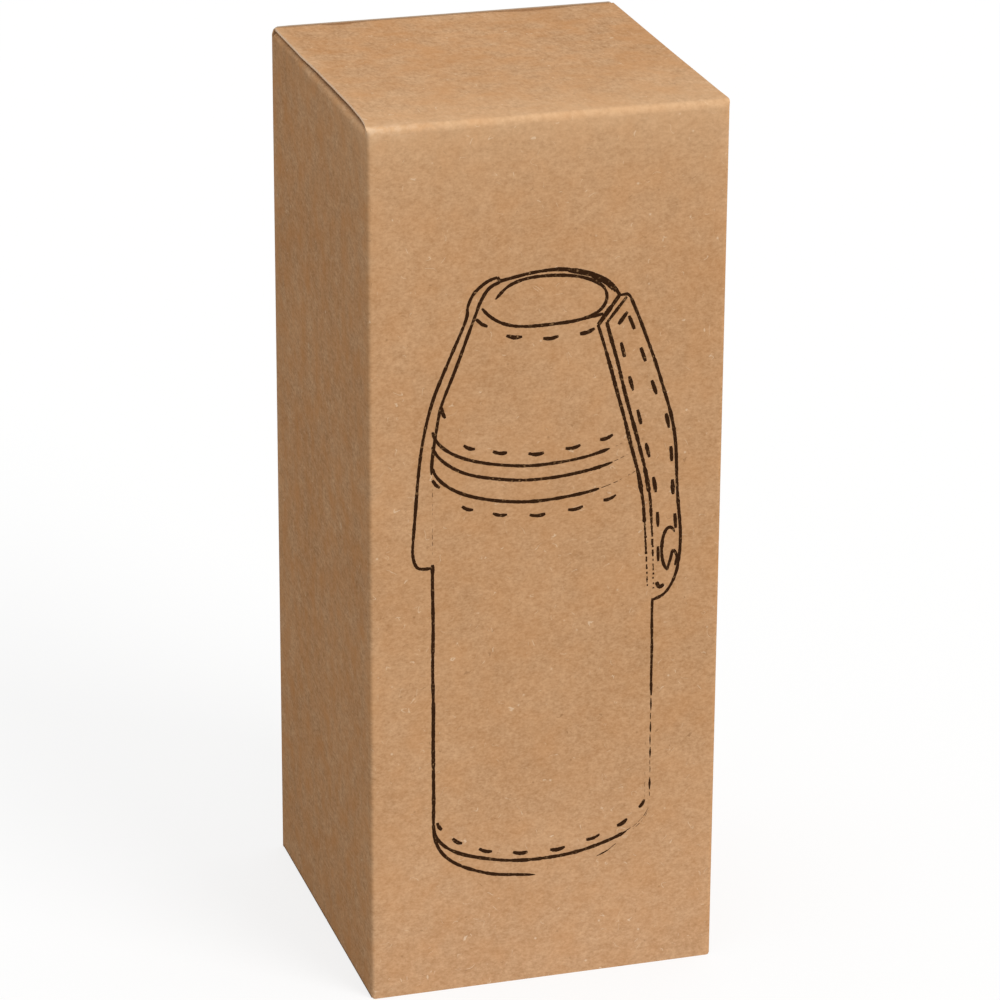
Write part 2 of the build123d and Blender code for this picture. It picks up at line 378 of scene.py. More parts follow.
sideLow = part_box("left_panel")[0]
glueLow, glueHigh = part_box("glue_flap")
lidLow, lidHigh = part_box("lid_panel")
tuckLow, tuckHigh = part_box("tuck_flap")
board = frontHigh.y - frontLow.y
halfWidth = frontHigh.x


def fadeFromLine(line, spread, reach):
    # 1 on a line, such as a crease or the slit at the back, fading away from it; spread picks the axes and
    # reach is in mm
    away = graph["at"]
    for operation, value in (("SUBTRACT", line), ("MULTIPLY", spread)):
        away = addNode("VectorMath", {"operation": operation, 1: value}, {0: away})
    length = addNode("VectorMath", {"operation": "LENGTH"}, {0: away}).outputs["Value"]
    return calc("EXPONENT", product(length, -1 / (reach * mm)))


def kraftMaterial(name, cutAxis=None, cutAlong=False):
    # unbleached kraft board, pressed from pulp: dull, mottled, with stray pale fibres and dark specks
    startMaterial(name)
    at = graph["at"]
    cloud = noiseMask(kraft["cloud"], 0.30, 0.70)
    mottle, grain, fine = (noiseMask(*clump, kraft["lie"]) for clump in kraft["clumps"])
    tone = weighted((mottle, 0.22), (cloud, 0.12), (grain, 0.42), (fine, 0.24))

    # painted light: the pulp's tone and warm tint are stronger on the sides and the top, for the light that
    # rakes along the board there
    side = addNode("SeparateXYZ", {}, {0: addNode("TexCoord").outputs["Normal"]}).outputs
    gain = weighted((calc("ABSOLUTE", side[0]), 0.45), (calc("ABSOLUTE", side[2]), 0.3), start=1)
    tone = weighted((calc("SUBTRACT", tone, 0.5), gain), start=0.5)
    colour = mixColours(tone, kraft["deep"], kraft["pale"])
    tint = noiseMask(kraft["tint"], 0.35, 0.72, 2, 0.71)
    strength = weighted((calc("SUBTRACT", gain, 1), 0.9), start=0.27)
    colour = mixColours(product(tint, strength), colour, kraft["warm"])

    # contour lines of a noise, broken by a second one, lie like stray fibres
    for shift, shade, width, rarity in kraft["fibres"]:
        moved = addNode("Mapping", {"Location": (shift,) * 3}, {"Vector": at})
        loop = {"Scale": perMetre(kraft["fibreLoop"]), "Detail": 1, "Distortion": 0.8}
        field = addNode("TexNoise", loop, {"Vector": moved})
        line = calc("LESS_THAN", calc("ABSOLUTE", calc("SUBTRACT", field, 0.5)), width)
        kept = noiseMask(2, rarity, rarity + 0.05, 0, shift * 3)
        colour = mixColours(product(line, kept, 0.5), colour, kraft[shade])

    # specks: dark bark and pale knots of fibre
    for shift, shade, share, strength in kraft["specks"]:
        moved = addNode("Mapping", {"Location": (shift,) * 3}, {"Vector": at})
        cells = addNode("TexVoronoi", {"Scale": perMetre(kraft["fleckCell"])}, {"Vector": moved})
        near = addNode("MapRange", {"From Min": 0.12, "From Max": 0.05}, {"Value": cells})
        rare = calc("LESS_THAN", addNode("SeparateColor", {}, {0: cells.outputs["Color"]}), share)
        colour = mixColours(product(near, rare, strength), colour, kraft[shade])

    # a folded crease stretches the fibres, which turns them paler, and its corner is rubbed white; the wide
    # pale bands by the creases are also painted highlight, the light the rounded folds catch
    left, front, top = cadBox[0].x, cadBox[0].y, cadBox[1].z
    rub = noiseMask(2.2, 0.22, 0.62, 3, 0.23)
    for place, spread, reach, most in kraft["folds"]:
        line = [share * end for share, end in zip(place, (left, front, top))]
        mask = product(fadeFromLine(line, spread, reach), weighted((rub, most / 2), start=most / 2))
        colour = mixColours(mask, colour, kraft["worn"])
    ragged = noiseMask(1.6, 0.42, 0.56, 2, 0.47)
    corner = product(fadeFromLine((left, front, top), (0.12, 1, 1), 0.9), ragged, 0.5)
    colour = mixColours(corner, colour, kraft["scuff"])

    if cutAxis is not None:
        # the guillotined edge: a painted highlight on its upper part over its own darker colour, which on the
        # lid is also painted shadow
        cut = calc("GREATER_THAN" if cutAlong else "LESS_THAN", calc("ABSOLUTE", side[cutAxis]), 0.6)
        low, high = (top - (kraft["cutHighlightBelow"] + soft) * mm for soft in (0.1, -0.1))
        up = addNode("SeparateXYZ", {}, {0: at}).outputs[2]
        upper = addNode("MapRange", {"From Min": low, "From Max": high}, {"Value": up})
        inner = kraft["cutTop" if cutAlong else "cut"]
        colour = mixColours(cut, colour, mixColours(upper, inner, kraft["cutHighlight"]))
    # painted shade: a dark line along the back wall's top in every kraft material, for the slit under the
    # lid's rear fold
    shade = fadeFromLine((0, (backLow.y + backHigh.y) / 2, top), (0, 1, 1), 0.7)
    colour = mixColours(product(shade, 0.9), colour, kraft["slit"])
    return endMaterial(colour, weighted((grain, 0.6), start=mottle), kraft["relief"],
                       {"Roughness": 0.88, "Specular IOR Level": 0.08})


kraftWall = kraftMaterial("kraftBoardWall", cutAxis=2, cutAlong=True)
kraftFlat = kraftMaterial("kraftBoardFlap", cutAxis=2)
kraftTuck = kraftMaterial("kraftBoardTuck", cutAxis=1)
kraftCrease = kraftMaterial("kraftBoardCrease")


# Carton tube: glue flap, left, front, right and back wall in one folded sheet

tube = {
    "fold": 1.25,  # outer radius of the upright creases, mm
    "foldSteps": 6,
    "glueFold": 0.5,  # the sharper crease at the glue flap
    "postReach": 0.35,  # how far the front corners stay high past their creases, mm
    "column": 4.5,  # spacing of the upright mesh lines, mm
    "rows": 44,
    "sag": 0.16,  # how far a wall sinks between its creases, mm
    "backSag": 0.6,  # the back wall's share of it
    "ripple": 0.05,
    "waves": (22, 14, 90),  # the ripple's waves per metre: across, up, and from wall to wall
    "frontFold": 1.8,  # radius of the crease between front wall and lid, mm
    "sideFold": 1.3,  # radius of the dust flaps' creases, mm
    "sideDrop": 0.4,  # how far the dust flaps lie below the lid's board, mm
    "rawBack": 0.15,  # the back wall's raw edge stands in from the corner, mm
    "backDrop": 0.12,  # its top lies this far under the lid's face, mm
    "rawRound": 1.9,  # its rounded upper corner, mm
    "rawColumns": (0.35, 0.8, 1.4),
    "sideReach": (0.9, 2.3),  # mm that the side creases run past the dust flaps, at the front and the rear
}


def wallSink(across, up, half):
    # inward sink of a wall at a place across it and up it, in metres
    share = across / half
    rise = (up - cadBox[0].z) / (cadBox[1].z - cadBox[0].z)
    crown = max(0, 1 - share * share) * math.sin(math.pi * min(1, max(0, rise))) ** 0.5
    at = Vector([place * wave for place, wave in zip((across, up, half), tube["waves"])])
    ripple = noise.noise(at) * max(0, 1 - share ** 4) + 0.5
    return (tube["sag"] * crown + tube["ripple"] * ripple) * mm


def makeTube():
    rear = glueHigh.y
    raw = frontLow.x + tube["rawBack"] * mm
    points = ((glueHigh.x, rear), (frontLow.x, rear), (frontLow.x, frontLow.y), (frontHigh.x, frontLow.y),
              (frontHigh.x, backHigh.y), (raw, backHigh.y))
    bm = bmesh.new()
    corners = [bm.verts.new((x, y, 0)) for x, y in points]
    for pair in zip(corners, corners[1:]):
        bm.edges.new(pair)
    for turned, radius in (([corners[1]], tube["glueFold"]), (corners[2:-1], tube["fold"])):
        roundOff(bm, turned, radius, tube["foldSteps"])
    for edge in bm.edges[:]:
        cuts = int(edge.calc_length() / (tube["column"] * mm))
        if cuts:
            bmesh.ops.subdivide_edges(bm, edges=[edge], cuts=cuts)
    for inset in tube["rawColumns"]:
        cutAcross(bm, (raw + inset * mm, 0, 0), (1, 0, 0))
    post = frontLow.y + (tube["fold"] + tube["postReach"]) * mm
    cutAcross(bm, (0, post, 0), (0, 1, 0))
    moveRaised(bm, bmesh.ops.extrude_edge_only(bm, edges=bm.edges[:]), (0, 0, 1))
    upright = [edge for edge in bm.edges if abs(edge.verts[0].co.z - edge.verts[1].co.z) > 0.5]
    bmesh.ops.subdivide_edges(bm, edges=upright, cuts=tube["rows"], use_grid_fill=True)

    # the sheet is 1 m high so far; each point now finds its own height, and its wall sinks a little
    fold, glueFold = tube["fold"] * mm, tube["glueFold"] * mm
    frontTop = lidHigh.z - tube["frontFold"] * mm
    sideTop = lidLow.z - (tube["sideDrop"] + tube["sideFold"]) * mm
    backTop = lidHigh.z - tube["backDrop"] * mm
    for vert in bm.verts:
        x, y, share = vert.co
        onGlue = abs(y - rear) < glueFold / 8 and frontLow.x + glueFold * 0.9 < x < glueHigh.x + fold
        frontShare = smoothShare((post - y) / (tube["postReach"] * mm))
        backShare = smoothShare((y - (backHigh.y - fold)) / fold) if y > rear + glueFold / 8 or x > 0 else 0
        low = sideLow.z * (1 - max(smoothShare((frontLow.y + fold - y) / fold), backShare))
        top = sideTop + (frontTop - sideTop) * frontShare + (backTop - sideTop) * backShare
        if backShare == 1:
            top -= roundInset(tube["rawRound"] * mm, x - raw)
        if onGlue:
            slope = smoothShare((x - frontLow.x - glueFold) / (3 * fold))
            low = sideLow.z + (glueLow.z - sideLow.z) * slope
            top = sideTop + (glueHigh.z - sideTop) * slope
        vert.co.z = low + share * (top - low)
        if abs(x) > halfWidth - fold / 9:
            vert.co.x -= math.copysign(wallSink(y, vert.co.z, backHigh.y), x)
        elif y < frontLow.y + fold / 9:
            vert.co.y += wallSink(x, vert.co.z, halfWidth)
        elif y > backHigh.y - fold / 9:
            vert.co.y -= wallSink(x, vert.co.z, halfWidth) * tube["backSag"]
    bmesh.ops.recalc_face_normals(bm, faces=bm.faces[:])
    outside = sum(face.normal.y * face.calc_center_median().y for face in bm.faces) > 0
    bmesh.ops.solidify(bm, geom=bm.faces[:], thickness=board if outside else -board)
    givePiece("cartonTube", bm, kraftWall, "carton",
              ("front_panel", "back_panel", "left_panel", "right_panel", "glue_flap"), sharp=50)


makeTube()
print("carton tube folded")


# Lid, its creases, dust flaps and bottom

lid = {
    "board": 0.78,  # seen thickness at the raw edge, mm
    "spacing": 3.0,
    "rearFold": 1.0,  # radius of the crease to the tuck flap, mm
    "rearReach": 1.4,  # the fold presses back against the wall, past the flap's straight part, mm
    # how far its sides stand in: share of the way to the rear, and mm
    "leftInset": ((0, 0.12), (0.03, 0.8), (0.10, 1.35), (0.22, 1.6), (0.36, 1.5), (0.52, 1.3), (0.74, 0.7),
                  (1, 0.5)),
    "rightInset": ((0, 0.1), (0.10, 0.25), (0.5, 0.4), (1, 0.35)),
    "crown": 0.12,  # how far its middle sinks, mm
    "dips": ((-27.5, 6.5, 0.45), (23, 14, 0.55)),  # sags of the rear fold: middle, half width and depth, mm
    "dipReach": 4.0,  # mm to the front over which they fade
    "tuckRound": 4.0,  # the tuck flap's lower corners, mm
    "tuckBend": 7.0,  # height over which it bends back from the wall, mm
    "tuckGrid": (30, 14),
    "foldSteps": 7,
    "frontEnds": 0.1,  # mm that the front crease stops short of each side
    "frontColumns": (0.25, 0.55, 0.9),  # extra mesh lines in its corners, as shares of the upright crease
    "frontBoard": 0.8,  # a bent board's thickness, as a share of the flat one
    "rearEnds": (0.6, 0.35),  # mm that the rear crease stops short, left and right
    "bottomPlay": 0.25,  # mm between the outer bottom flaps and the side walls
    "bottomSpacing": 6.0,
}
lidRear = lidHigh.y + (lid["rearReach"] - lid["rearFold"]) * mm


def gridSheet(low, high, spacing):
    # a flat grid of quads between two corners, at the upper corner's height
    bm = bmesh.new()
    size = high - low
    bmesh.ops.create_grid(bm, x_segments=max(1, round(size.x / (spacing * mm))),
                          y_segments=max(1, round(size.y / (spacing * mm))), size=0.5)
    bmesh.ops.scale(bm, vec=(size.x, size.y, 1), verts=bm.verts[:])
    bmesh.ops.translate(bm, vec=((low.x + high.x) / 2, (low.y + high.y) / 2, high.z), verts=bm.verts[:])
    return bm


def rearDip(x):
    return sum(depth * mm * smoothShare(1 - abs(x / mm - middle) / half)
               for middle, half, depth in lid["dips"])


def makeLid():
    front = lidLow.y + tube["frontFold"] * mm
    bm = gridSheet(Vector((-halfWidth, front, 0)), Vector((halfWidth, lidRear, lidHigh.z)), lid["spacing"])
    for vert in bm.verts:
        share = (vert.co.y - front) / (lidRear - front)
        inset = alongPoints(lid["leftInset" if vert.co.x < 0 else "rightInset"], share)
        vert.co.x *= 1 - inset * mm / halfWidth
        vert.co.z -= lid["crown"] * mm * math.sin(math.pi * share) * (1 - (vert.co.x / halfWidth) ** 2)
        vert.co.z -= rearDip(vert.co.x) * smoothShare(1 - (lidRear - vert.co.y) / (lid["dipReach"] * mm))
    thicken(bm, lid["board"] * mm)
    givePiece("lidBoard", bm, kraftFlat, "lid", ("lid_panel",))


def creaseStrip(centre, outer, inner, along, reach, firstAngle, spacing=4.0):
    # a quarter turn of bent board round an axis through centre, as long as reach
    bm = bmesh.new()
    axis = Vector((1, 0, 0)) if along == "x" else Vector((0, 1, 0))
    start = Matrix.Rotation(math.radians(firstAngle), 3, axis) @ Vector((0, 0, 1))
    ends = [bm.verts.new(centre + axis * reach[0] + start * radius) for radius in (inner, outer)]
    edge = bm.edges.new(ends)
    bmesh.ops.spin(bm, geom=ends + [edge], cent=centre, axis=axis, angle=math.pi / 2, steps=lid["foldSteps"])
    length = reach[1] - reach[0]
    raised = bmesh.ops.extrude_face_region(bm, geom=bm.faces[:] + bm.edges[:] + bm.verts[:])
    moveRaised(bm, raised, axis * length)
    long = [edge for edge in bm.edges if abs((edge.verts[0].co - edge.verts[1].co).dot(axis)) > length / 2]
    bmesh.ops.subdivide_edges(bm, edges=long, cuts=int(length / (spacing * mm)), use_grid_fill=True)
    return bm


def makeFrontCrease():
    fold = tube["frontFold"] * mm
    centre = Vector((0, lidLow.y + fold, lidHigh.z - fold))
    end = halfWidth - lid["frontEnds"] * mm
    bm = creaseStrip(centre, fold, fold - board * lid["frontBoard"], "x", (-end, end), 0)
    upright = tube["fold"] * mm
    for inset in lid["frontColumns"]:
        for side in (-1, 1):
            cutAcross(bm, (side * (halfWidth - upright * inset), 0, 0), (1, 0, 0))
    for vert in bm.verts:
        # the lower edge follows the wall's sink and its rounded corners
        low = smoothShare((centre.z + fold - vert.co.z) / fold)
        corner = roundInset(upright, halfWidth - abs(vert.co.x))
        vert.co.y += (wallSink(vert.co.x, centre.z, halfWidth) + corner) * low
    piece = givePiece("frontCrease", bm, kraftCrease, sharp=60)
    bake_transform(piece)


def makeRearCrease():
    fold = lid["rearFold"] * mm
    centre = Vector((0, lidRear, lidHigh.z - fold))
    ends = (lid["rearEnds"][0] * mm - halfWidth, halfWidth - lid["rearEnds"][1] * mm)
    bm = creaseStrip(centre, fold, fold * 0.1, "x", ends, -90, lid["spacing"])
    for vert in bm.verts:
        down = smoothShare((centre.z + fold - vert.co.z) / fold)
        vert.co.z -= rearDip(vert.co.x) * (1 - down)
        vert.co.x *= 1 - (1 - tuckHigh.x / halfWidth) * down * 0.9
    piece = givePiece("rearCrease", bm, kraftCrease, sharp=60)
    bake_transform(piece)


def makeDustFlap(name, side):
    fold, drop = tube["sideFold"] * mm, tube["sideDrop"] * mm
    nodeName = "dust_flap_" + name
    flapLow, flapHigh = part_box(nodeName)
    centre = Vector((side * (halfWidth - fold), 0, lidLow.z - drop - fold))
    ends = (flapLow.y - tube["sideReach"][0] * mm, flapHigh.y + tube["sideReach"][1] * mm)
    bm = creaseStrip(centre, fold, fold - board, "y", ends, -90 if side < 0 else 0)
    piece = givePiece(name + "DustCrease", bm, kraftCrease, sharp=60)
    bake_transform(piece)

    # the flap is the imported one, cut where its crease begins
    bm = bmesh.new()
    bm.from_mesh(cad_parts[nodeName].data)
    bmesh.ops.remove_doubles(bm, verts=bm.verts[:], dist=0.01 * mm)
    cutAcross(bm, centre, (side, 0, 0), clear=True)
    fillEnds(bm)
    bmesh.ops.dissolve_limit(bm, angle_limit=0.02, verts=bm.verts[:], edges=bm.edges[:])
    bmesh.ops.translate(bm, vec=(0, 0, -drop), verts=bm.verts[:])
    givePiece(name + "DustFlap", bm, kraftFlat, "dust_" + name, (nodeName,))


def makeTuck():
    # hangs from the rear fold, then bends back to its place behind the wall
    bm = bmesh.new()
    bmesh.ops.create_grid(bm, x_segments=lid["tuckGrid"][0], y_segments=lid["tuckGrid"][1], size=0.5)
    top = lidHigh.z - lid["rearFold"] * mm
    for vert in bm.verts:
        x, y, _ = vert.co
        z = tuckLow.z + (y + 0.5) * (top - tuckLow.z)
        back = 1 - smoothShare((top - z) / (lid["tuckBend"] * mm))
        inset = roundInset(lid["tuckRound"] * mm, z - tuckLow.z)
        vert.co = (x * 2 * (tuckHigh.x - inset), tuckHigh.y + lid["rearReach"] * mm * back, z)
    thicken(bm, board * 0.9, axis=1)
    givePiece("tuckFlap", bm, kraftTuck, "tuck", ("tuck_flap",))


def makeBottom():
    # each outer flap starts at the inner face of its own wall
    for name in ("front", "back"):
        nodeName = "bottom_" + name + "_flap"
        near, far = (Vector(corner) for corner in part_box(nodeName))
        near.x += lid["bottomPlay"] * mm
        far.x -= lid["bottomPlay"] * mm
        if name == "front":
            near.y += board
        else:
            far.y -= board
        bm = gridSheet(near, far, lid["bottomSpacing"])
        thicken(bm, board - 0.02 * mm)
        givePiece(name + "BottomFlap", bm, kraftFlat, "carton", (nodeName,))


makeLid()
makeFrontCrease()
makeRearCrease()
makeDustFlap("left", -1)
makeDustFlap("right", 1)
makeTuck()
makeBottom()
print("lid, flaps and bottom ready")


# Printed outline of the bottle inside: its rings and stitches from its own sizes, its straps from listed
# points

drawing = {
    "across": 0.814,  # printed millimetres for one of the bottle, across
    "upright": 0.75,  # and up, which is drawn foreshortened
    "depth": 0.345,  # and towards the viewer, which opens the rings
    "middle": -0.6,  # mm from the wall's middle line
    "foot": 41.6,  # mm, height of the drawn base's centre
    "pen": 0.96,  # mm, usual width of a line
    "press": ((0.35, 0.30), (1.6, 0.16), (5.0, 0.20)),  # waves per mm of that width, and their depth
    "taper": 2.2,  # mm over which a line's ends thin out
    "dash": 4.9,  # mm of bottle, length of a drawn stitch
    "dashPen": 1.1,  # of the pen's width
    "sag": 0.35,  # mm that a stitch droops
    "footRow": (7.0, 8.4, 0.435),  # the lowest row: rise above the edge, first turn, and its own depth
    "step": 0.4,  # mm between the points of a stroke
    "wander": 0.224,  # mm that the hand strays
    "drift": 0.09,  # waves per mm of that straying
    "proud": 0.035,  # mm that the ink's middle stands off the board
    "narrow": 0.992,  # the whole drawing is fitted to the wall as photographed
    "shift": (-0.46, -0.58),  # mm across and up
    "lean": 0.003,  # mm to the right for each one down from the rim
    "flat": 0.04,  # flattening of the stroke's round section
    # listed points, mm across and up the wall
    "rim": ((-12.3, 188.1), (-4.7, 189.4), (0.6, 189.8), (4.3, 189.6), (8.6, 188.8), (12.8, 187.3),
            (16.1, 185), (18.3, 181.9)),
    "rimFront": ((4.6, 176), (10.8, 176.9), (14.2, 177.5)),
    "recess": ((-13.2, 183.7), (-10, 186.6), (-5.8, 188.1), (-1, 188.5), (3.3, 188.3), (7.5, 187.6),
               (11.3, 186.2), (14, 184.4), (15, 182.2), (14.6, 180.1), (12.9, 178.2), (9.8, 176.9),
               (6.6, 176.3), (2.3, 176.1), (-2, 176), (-5.7, 176.1), (-8.9, 176.6), (-12.1, 177.8),
               (-14.8, 179.7), (-16.6, 181.7)),
    "farStrap": ((-12.7, 189.2), (-15.4, 188.2), (-18.5, 185.6), (-20.1, 182.4), (-20.6, 179.2),
                 (-24.8, 169.5), (-28.9, 159.5), (-31.4, 150), (-32.9, 137.6), (-34, 124), (-34.1, 119.8),
                 (-33.2, 116.8), (-31.6, 116), (-29.2, 116)),
    "cupSide": ((-11.9, 188), (-14.8, 186.5), (-17, 183.2), (-18.3, 179.8), (-22.7, 168.2), (-26.6, 158.4),
                (-28, 151.5), (-29, 145), (-29.3, 140.5)),
    "nearEdge": ((15.2, 175.2), (19.1, 160.2), (24.2, 141), (26.6, 130), (27.6, 117), (28.1, 104)),
    "nearTurn": ((12.9, 174.8), (17.2, 160.2), (22.2, 141), (24.7, 130), (25.8, 118), (26.5, 104)),
    "nearOuter": ((21.2, 180.9), (24.2, 173.5), (28.5, 161.3), (31.7, 151), (33.3, 141), (33.9, 130),
                  (34.9, 118.4), (34.6, 110.9), (33.2, 105.9), (30.9, 102.6), (27.8, 101.2)),
    "nearTop": ((18.2, 181.8), (20.3, 181.9), (21.2, 180.9)),
    "snapHook": ((31.6, 108.9), (32.4, 111.6), (33.1, 114), (34.1, 112.2), (33.6, 109.8)),
    "snapOval": (32.1, 114.5, 2.0, 5.7),
    "endStitch": ((28.9, 105.9), (29.6, 104.5), (30.8, 105.1)),
    "topStitch": ((18.1, 174.4), (20.4, 177.4)),
    "turnTop": (18.2, 181.8),
    "edgeTop": (20.1, 181.2),
    "farTop": ((-12.7, 189.2), (-11.9, 188)),
    "stitches": (((-18, 179.1), (-15.1, 177)), ((-10.4, 174.2), (-6.4, 173.6)), ((-1.1, 172.6),
                 (2.9, 172.8)), ((8.2, 172.9), (12, 174)), ((-27, 157.9), (-25.8, 154.6)), ((-29.1, 139),
                 (-27.2, 136.8))),
    "foot1": ((-29.2, 47), (-28.5, 42.2), (-26.8, 38.8), (-23.7, 35.9), (-19, 33.4), (-13, 31.2),
              (-6.3, 30.2), (-2.4, 29.7)),
    "foot2": ((13.9, 32.6), (16.9, 33.9), (19.1, 35.5)),
}
bottle = {
    "stitchCount": 18,
    "rimStitchCount": 13,
    "stitchDrop": 4.5,  # mm from an edge to its row of stitches
    "footStitchRise": 4.0,
    "strapWidth": 13.5,
    "strapThickness": 3.0,
    "strapTop": 3.1,  # mm outside the rim
    "strapBend": (8.4, 49.5),  # mm outside the body and below the top, outer face
    "strapLow": (10.6, 96.0),
    "strapSoft": 0.10,  # share of the strap's length on each side of the bend that it rounds
}
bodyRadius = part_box("body_sleeve")[1].x / mm
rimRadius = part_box("cup_rim")[1].x / mm
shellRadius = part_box("outer_shell")[1].x / mm
footLevel, baseTop = (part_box(name)[0].z / mm for name in ("base_pad", "body_sleeve"))
sleeveTop, collarTop, bandTop, wrapTop, bottleTop = (
    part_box(name)[1].z / mm for name in ("body_sleeve", "collar_band", "cup_band", "cup_wrap", "cup_rim"))
cupSlope = (bodyRadius - rimRadius) / (wrapTop - bandTop)
ink = bpy.data.curves.new("ink", "CURVE")
random.seed(4)


def shares(first, last, count):
    return [first + (last - first) * index / count for index in range(count + 1)]


def onWall(x, depth, level, flat=None):
    # where a point of the bottle lands in the drawing, in mm across and up the wall
    rise = (level - footLevel) * drawing["upright"] - depth * (flat or drawing["depth"])
    return Vector((drawing["middle"] + x * drawing["across"], drawing["foot"] + rise))


def smoothLine(points, cuts=6):
    # a curve through listed points
    ends = [Vector(point) for point in (points[0], *points, points[-1])]
    line = []
    for a, b, c, d in zip(ends, ends[1:], ends[2:], ends[3:]):
        for step in range(cuts):
            t = step / cuts
            line.append(b + (c - a) * t / 2 + (2 * a - 5 * b + 4 * c - d) * t * t / 2
                        + (3 * b - a - 3 * c + d) * t ** 3 / 2)
    return line + [ends[-1]]


def onLine(points, run, aside=0.0):
    # the point this far along a line, moved aside
    for a, b in zip(points, points[1:]):
        along = (b - a).normalized()
        if run <= (b - a).length:
            break
        run -= (b - a).length
    return a + along * run + Vector((along.y, -along.x)) * aside


def stroke(points, pen=1.0, taper=(0.5, 0.5), wander=1.0):
    # one pen line through wall points, its width and path a little unsteady
    lengths = [0]
    for a, b in zip(points, points[1:]):
        lengths.append(lengths[-1] + (b - a).length)
    whole = lengths[-1]
    count = max(4, round(whole / drawing["step"]))
    spline = ink.splines.new("POLY")
    spline.points.add(count)
    seed = random.uniform(0, 500)
    at = 0
    for point, run in zip(spline.points, shares(0, whole, count)):
        while at < len(points) - 2 and lengths[at + 1] < run:
            at += 1
        share = (run - lengths[at]) / max(1e-6, lengths[at + 1] - lengths[at])
        wave = run * drawing["drift"]
        drift = Vector((noise.noise(Vector((seed, wave, 0))), noise.noise(Vector((seed, 7, wave)))))
        place = points[at].lerp(points[at + 1], share) + drift * drawing["wander"] * wander
        press = 1
        for wave, depth in drawing["press"]:
            press += depth * noise.noise(Vector((seed, run * wave, wave * 9)))
        for start, left in zip(taper, (run, whole - run)):
            press *= min(1, start + left / drawing["taper"])
        point.co = (place.x * mm, 0, place.y * mm, 1)
        point.radius = press * pen * drawing["pen"] / 2


def handLine(key, pen, taper, wander=1.0):
    stroke(smoothLine(drawing[key]), pen, taper, wander)


def stitch(points, wander=0.5):
    stroke(points, drawing["dashPen"], (0.7, 0.6), wander)


def brokenStroke(points, pen, kept, piece, gap, taper=0.25):
    # a line whose ink fails: short bits of uneven weight
    at = 0
    while at < len(points) - 1:
        length = max(1, round(random.uniform(0.3, 1) * piece))
        if random.random() < kept:
            stroke(points[at:at + length + 1], pen * random.uniform(0.55, 1.0), (taper, taper), 0.5)
        at += length + round(random.uniform(0.3, 1) * gap * (1.4 - kept))


def ringPoints(radius, level, first, last, step=3, flat=None):
    turns = [math.radians(turn) for turn in shares(first, last, max(2, round(abs(last - first) / step)))]
    return [onWall(radius * math.sin(turn), radius * math.cos(turn), level, flat) for turn in turns]


def ringStitches(radius, level, first, last, offset, flat=None):
    half = math.degrees(drawing["dash"] / 2 / radius)
    count = bottle["stitchCount"]
    for index in range(-count, count):
        turn = index * 360 / count + offset
        if first < turn < last:
            height = level + random.uniform(-0.3, 0.3)
            points = ringPoints(radius, height, turn - half, turn + half, half / 2, flat)
            for place, share in zip(points, (0, 0.75, 1, 0.75, 0)):
                place.y -= share * drawing["sag"]
            stitch(points)


def strapStitches(line, aside, start, pitch, count, gather=0.0):
    half = drawing["dash"] * drawing["across"] / 2
    for index in range(count):
        out = aside + gather * index
        stitch([onLine(line, start + index * pitch + half * step, out) for step in (-1, 0, 1)], 0.8)


def strapPath(share, inner=0.0):
    # radius and level of the strap's face, from its top at 0 to its end at 1
    bend, low = bottle["strapBend"], bottle["strapLow"]
    knee, soft = bend[1] / low[1], bottle["strapSoft"]
    atTop = rimRadius + bottle["strapTop"] - inner
    atBend, atEnd = (bodyRadius + place[0] - inner for place in (bend, low))
    slopes = ((atBend - atTop) / knee, (atEnd - atBend) / (1 - knee))
    if share < knee - soft:
        radius = atTop + slopes[0] * share
    elif share > knee + soft:
        radius = atBend + slopes[1] * (share - knee)
    else:
        t = (share - knee + soft) / (2 * soft)
        radius = atBend - slopes[0] * soft * (1 - t) ** 2 + slopes[1] * soft * t ** 2
    return radius, bottleTop - low[1] * share


def drawStraps():
    # near strap: outer face, its thickness on the left side, and its mitred top
    edge, turn, outer = (smoothLine(drawing[key]) for key in ("nearEdge", "nearTurn", "nearOuter"))
    stroke(outer, 1.0, (0.7, 0.7))
    for line in (edge, turn):
        # firm at first, pressed hard at the bend, then failing and breaking up into dots
        stroke(line[:15], 1.1, (0.8, 0.8))
        stroke(line[14:19], 1.3, (0.6, 0.6), 1.5)
        brokenStroke(line[17:23], 1.1, 1.0, 2, 0, 0.8)
        dots = smoothLine(line[22:], 4)
        brokenStroke(dots[:16], 0.85, 0.95, 1, 0.6, 0.9)
        brokenStroke(dots[16:], 0.55, 0.8, 1, 1, 0.9)
    for start, end, pen in ((turn[0], "turnTop", 1.35), (edge[0], "edgeTop", 0.95)):
        stroke([start, Vector(drawing[end])], pen, (0.8, 0.8), 0.5)
    handLine("nearTop", 0.9, (0.8, 0.8), 0.3)

    # its stitches: one across the top, then a row down each side
    stitch([Vector(point) for point in drawing["topStitch"]])
    strapStitches(edge, -2.1, 8.2, 9.2, 7, 0.11)
    strapStitches(outer, 2.2, 6.0, 9.2, 3)
    strapStitches(outer, 1.2, 34.2, 8.95, 4)
    handLine("endStitch", drawing["dashPen"], (0.8, 0.7), 0.3)

    # the snap, seen nearly from its side
    x, y, half, tall = drawing["snapOval"]
    turns = [math.radians(turn) for turn in shares(48, 262, 18)]
    oval = [Vector((x + half * math.cos(turn), y + tall * math.sin(turn))) for turn in turns]
    stroke(oval, 1.0, (0.4, 0.9), 0.4)
    handLine("snapHook", 0.95, (0.8, 0.5), 0.3)

    # far strap: only its outline shows past the bottle's left side
    handLine("farStrap", 1.0, (0.8, 0.7), 0.8)
    stroke([Vector(point) for point in drawing["farTop"]], 0.9, (0.9, 0.9), 0.2)


def sideLine(radius, first, last, count):
    return [onWall(radius, 0, level) for level in shares(first, last, count)]


